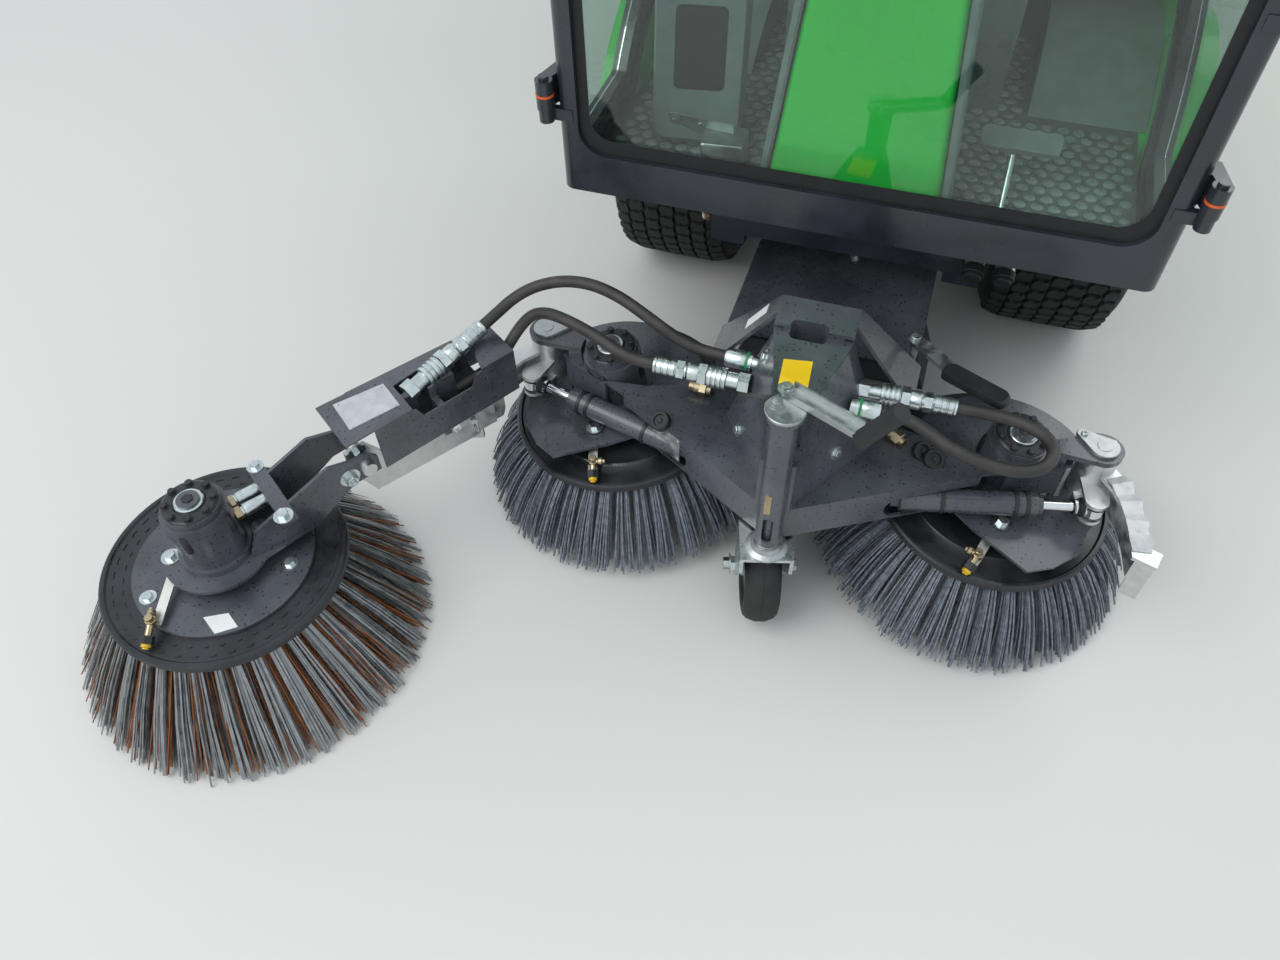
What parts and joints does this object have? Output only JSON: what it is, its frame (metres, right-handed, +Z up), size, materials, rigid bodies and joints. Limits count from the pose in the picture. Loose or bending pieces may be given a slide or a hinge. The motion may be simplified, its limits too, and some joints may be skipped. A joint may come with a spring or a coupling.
{
  "type": "compact road sweeper",
  "caption": "Articulated municipal sweeping machine: glazed cab, tipping hopper and a lifting front head with swinging brush arm and jack castor.",
  "frame": {"origin": "middle of the machine's floor plan, on the ground", "axes": "+X to the machine's left side, +Y to its rear, +Z up; it faces -Y"},
  "size_m": [1.7712, 3.3457, 2.065],
  "materials": {
    "black_paint": "satin",
    "bristle": "matte",
    "cast": "cast",
    "chrome": "polished",
    "cream": "gloss",
    "engine": "cast",
    "glass": "clear",
    "green_paint": "gloss",
    "grey_paint": "satin",
    "lamp": "clear",
    "plastic": "matte",
    "rim": "gloss",
    "rubber": "matte",
    "seat": "woven",
    "tyre": "matte",
    "zinc": "bright"
  },
  "bodies": {
    "front_frame": {"front_chassis": "black_paint", "front_axle": "grey_paint", "cab_shell": "black_paint", "cab_glass": "glass", "roof": "cream", "cab_floor": "rubber", "front_arches": "green_paint", "seat_base": "grey_paint", "seat": "seat", "console": "green_paint", "steering_column": "plastic", "lamps": "lamp", "mirrors": "plastic", "suction_duct": "plastic"},
    "rear_frame": {"rear_chassis": "black_paint", "rear_axle": "grey_paint", "riser_duct": "plastic", "pivot_hose": "rubber", "engine_block": "engine", "engine_cover": "green_paint", "tail_lamps": "lamp", "tip_brackets": "black_paint"},
    "wheel_front_left": {"tyre_front_left": "tyre", "rim_front_left": "rim"},
    "wheel_front_right": {"tyre_front_right": "tyre", "rim_front_right": "rim"},
    "wheel_rear_left": {"tyre_rear_left": "tyre", "rim_rear_left": "rim"},
    "wheel_rear_right": {"tyre_rear_right": "tyre", "rim_rear_right": "rim"},
    "door_left": {"door_left": "black_paint", "door_left_glass": "glass"},
    "door_right": {"door_right": "black_paint", "door_right_glass": "glass"},
    "hopper": {"hopper": "green_paint"},
    "hopper_door": {"hopper_door": "green_paint"},
    "sweeper": {"beam": "black_paint", "tower": "black_paint", "hood": "black_paint", "jack_post": "black_paint", "hand_levers": "zinc", "swing_barrels": "black_paint", "brush_drives": "black_paint", "lift_arms": "black_paint", "couplers": "zinc", "hose_loop": "rubber", "hose_arm_upper": "rubber", "hose_arm_lower": "rubber"},
    "castor": {"castor_fork": "zinc"},
    "castor_wheel": {"castor_wheel": "rubber"},
    "swing_left": {"bracket_left": "cast"},
    "swing_right": {"bracket_right": "cast", "arm_cover": "black_paint", "arm_coupler": "black_paint"},
    "rod_left": {"swing_rod_left": "chrome"},
    "rod_right": {"swing_rod_right": "chrome"},
    "third_arm": {"third_arm": "black_paint"},
    "brush_left": {"brush_left": "bristle"},
    "brush_right": {"brush_right": "bristle"},
    "brush_third": {"brush_third": "bristle"}
  },
  "joints": [
    {"name": "articulation", "type": "hinge", "parent": "front_frame", "child": "rear_frame", "pos_m": [0.268, 0.508, 0.36], "axis": [0, 0, 1], "range_deg": [-40, 40], "deforming": ["pivot_hose"]},
    {"name": "tip", "type": "hinge", "parent": "rear_frame", "child": "hopper", "pos_m": [0.268, 1.653, 0.892], "axis": [-1, 0, 0], "range_deg": [0, 45]},
    {"name": "hopper_door_swing", "type": "hinge", "parent": "hopper", "child": "hopper_door", "pos_m": [0.268, 1.613, 1.618], "axis": [1, 0, 0], "range_deg": [0, 75]},
    {"name": "lift", "type": "hinge", "parent": "front_frame", "child": "sweeper", "pos_m": [0.268, -0.372, 0.33], "axis": [-1, 0, 0], "range_deg": [0, 12]},
    {"name": "swing_right_turn", "type": "hinge", "parent": "sweeper", "child": "swing_right", "pos_m": [-0.207, -0.823, 0.275], "axis": [0, 0, 1], "range_deg": [-40, 34], "deforming": ["hose_arm_upper", "hose_arm_lower"]},
    {"name": "swing_left_turn", "type": "hinge", "parent": "sweeper", "child": "swing_left", "pos_m": [0.743, -0.823, 0.275], "axis": [0, 0, -1], "range_deg": [-40, 34]},
    {"name": "rod_right_slide", "type": "slide", "parent": "sweeper", "child": "rod_right", "axis": [-0.9718, 0.236, 0], "range_m": [-0.047, 0.047]},
    {"name": "rod_left_slide", "type": "slide", "parent": "sweeper", "child": "rod_left", "axis": [0.9718, 0.236, 0], "range_m": [-0.047, 0.047]},
    {"name": "arm_lift", "type": "hinge", "parent": "swing_right", "child": "third_arm", "pos_m": [-0.43128, -1.15179, 0.3], "axis": [-0.8261, 0.5635, 0], "range_deg": [0, 25]},
    {"name": "brush_left_spin", "type": "hinge", "parent": "sweeper", "child": "brush_left", "pos_m": [0.604, -0.827, 0.185], "axis": [0.0875, -0.075, 0.9933], "continuous": true},
    {"name": "brush_right_spin", "type": "hinge", "parent": "sweeper", "child": "brush_right", "pos_m": [-0.068, -0.827, 0.185], "axis": [-0.0875, -0.075, 0.9933], "continuous": true},
    {"name": "brush_third_spin", "type": "hinge", "parent": "third_arm", "child": "brush_third", "pos_m": [-0.57724, -1.36575, 0.19], "axis": [0, 0, 1], "continuous": true},
    {"name": "castor_swivel", "type": "hinge", "parent": "sweeper", "child": "castor", "pos_m": [0.268, -1.092, 0.23], "axis": [0, 0, 1], "continuous": true},
    {"name": "castor_roll", "type": "hinge", "parent": "castor", "child": "castor_wheel", "pos_m": [0.25477, -1.04586, 0.1], "axis": [0.9613, 0.2756, 0], "continuous": true},
    {"name": "roll_front_left", "type": "hinge", "parent": "front_frame", "child": "wheel_front_left", "pos_m": [0.6695, -0.052, 0.292], "axis": [-1, 0, 0], "continuous": true},
    {"name": "roll_front_right", "type": "hinge", "parent": "front_frame", "child": "wheel_front_right", "pos_m": [-0.1335, -0.052, 0.292], "axis": [-1, 0, 0], "continuous": true},
    {"name": "roll_rear_left", "type": "hinge", "parent": "rear_frame", "child": "wheel_rear_left", "pos_m": [0.6695, 1.098, 0.292], "axis": [-1, 0, 0], "continuous": true},
    {"name": "roll_rear_right", "type": "hinge", "parent": "rear_frame", "child": "wheel_rear_right", "pos_m": [-0.1335, 1.098, 0.292], "axis": [-1, 0, 0], "continuous": true},
    {"name": "door_left_swing", "type": "hinge", "parent": "front_frame", "child": "door_left", "pos_m": [0.754, -0.708, 0.85], "axis": [0, 0, -1], "range_deg": [0, 80]},
    {"name": "door_right_swing", "type": "hinge", "parent": "front_frame", "child": "door_right", "pos_m": [-0.218, -0.708, 0.85], "axis": [0, 0, 1], "range_deg": [0, 80]}
  ],
  "couplings": [
    {"joint": "rod_right_slide", "follows": "swing_right_turn", "m_per_rad": -0.0634},
    {"joint": "rod_left_slide", "follows": "swing_left_turn", "m_per_rad": -0.0634}
  ]
}
